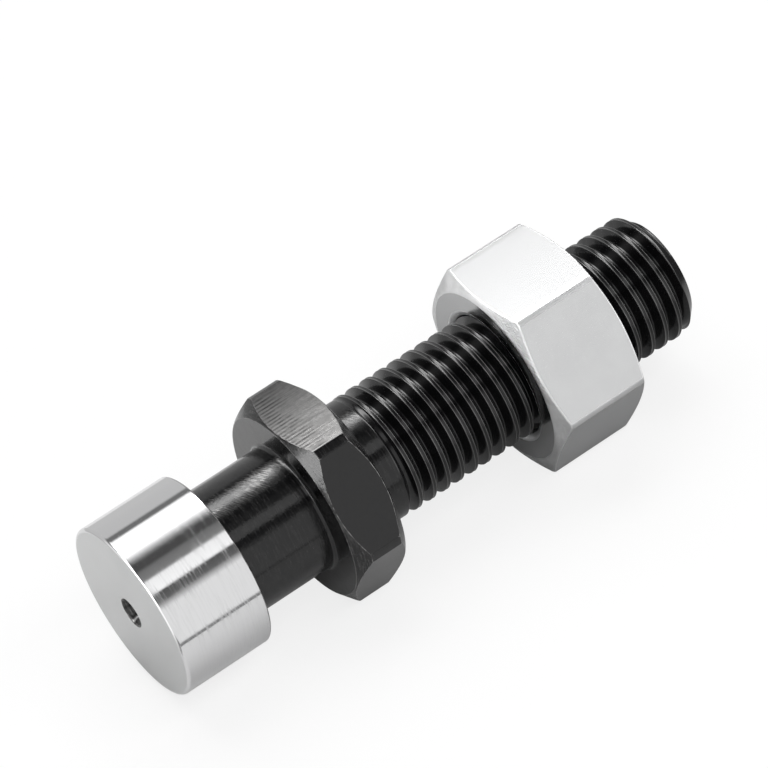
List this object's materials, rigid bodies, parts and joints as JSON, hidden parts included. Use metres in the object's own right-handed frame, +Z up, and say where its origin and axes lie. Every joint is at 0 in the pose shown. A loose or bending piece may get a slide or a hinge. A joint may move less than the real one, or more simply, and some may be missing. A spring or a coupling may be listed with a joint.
{
  "type": "adjusting screw",
  "caption": "Adjusting screw: round head with a lathe centre, plain neck, hexagon collar and threaded stud, with a hexagon lock nut on the stud.",
  "frame": {"origin": "on the screw's axis, in the plane of the hexagon collar's seat, the face towards the stud", "axes": "+X along the axis from the head to the stud's end, +Z up and square to the flats that the screw lies on, +Y across the corners of the hexagons"},
  "size_m": [0.0758, 0.0274, 0.024],
  "materials": {
    "black_steel": "glossy black oxide; the round head ground bright",
    "zinc_steel": "bright zinc, slightly satin"
  },
  "bodies": {
    "screw": {"screw": "black_steel"},
    "lock_nut": {"lock_nut": "zinc_steel"}
  },
  "joints": [
    {"name": "nut_travel", "type": "slide", "parent": "screw", "child": "lock_nut", "axis": [1, 0, 0], "range_m": [-0.01795, 0.01145]}
  ]
}
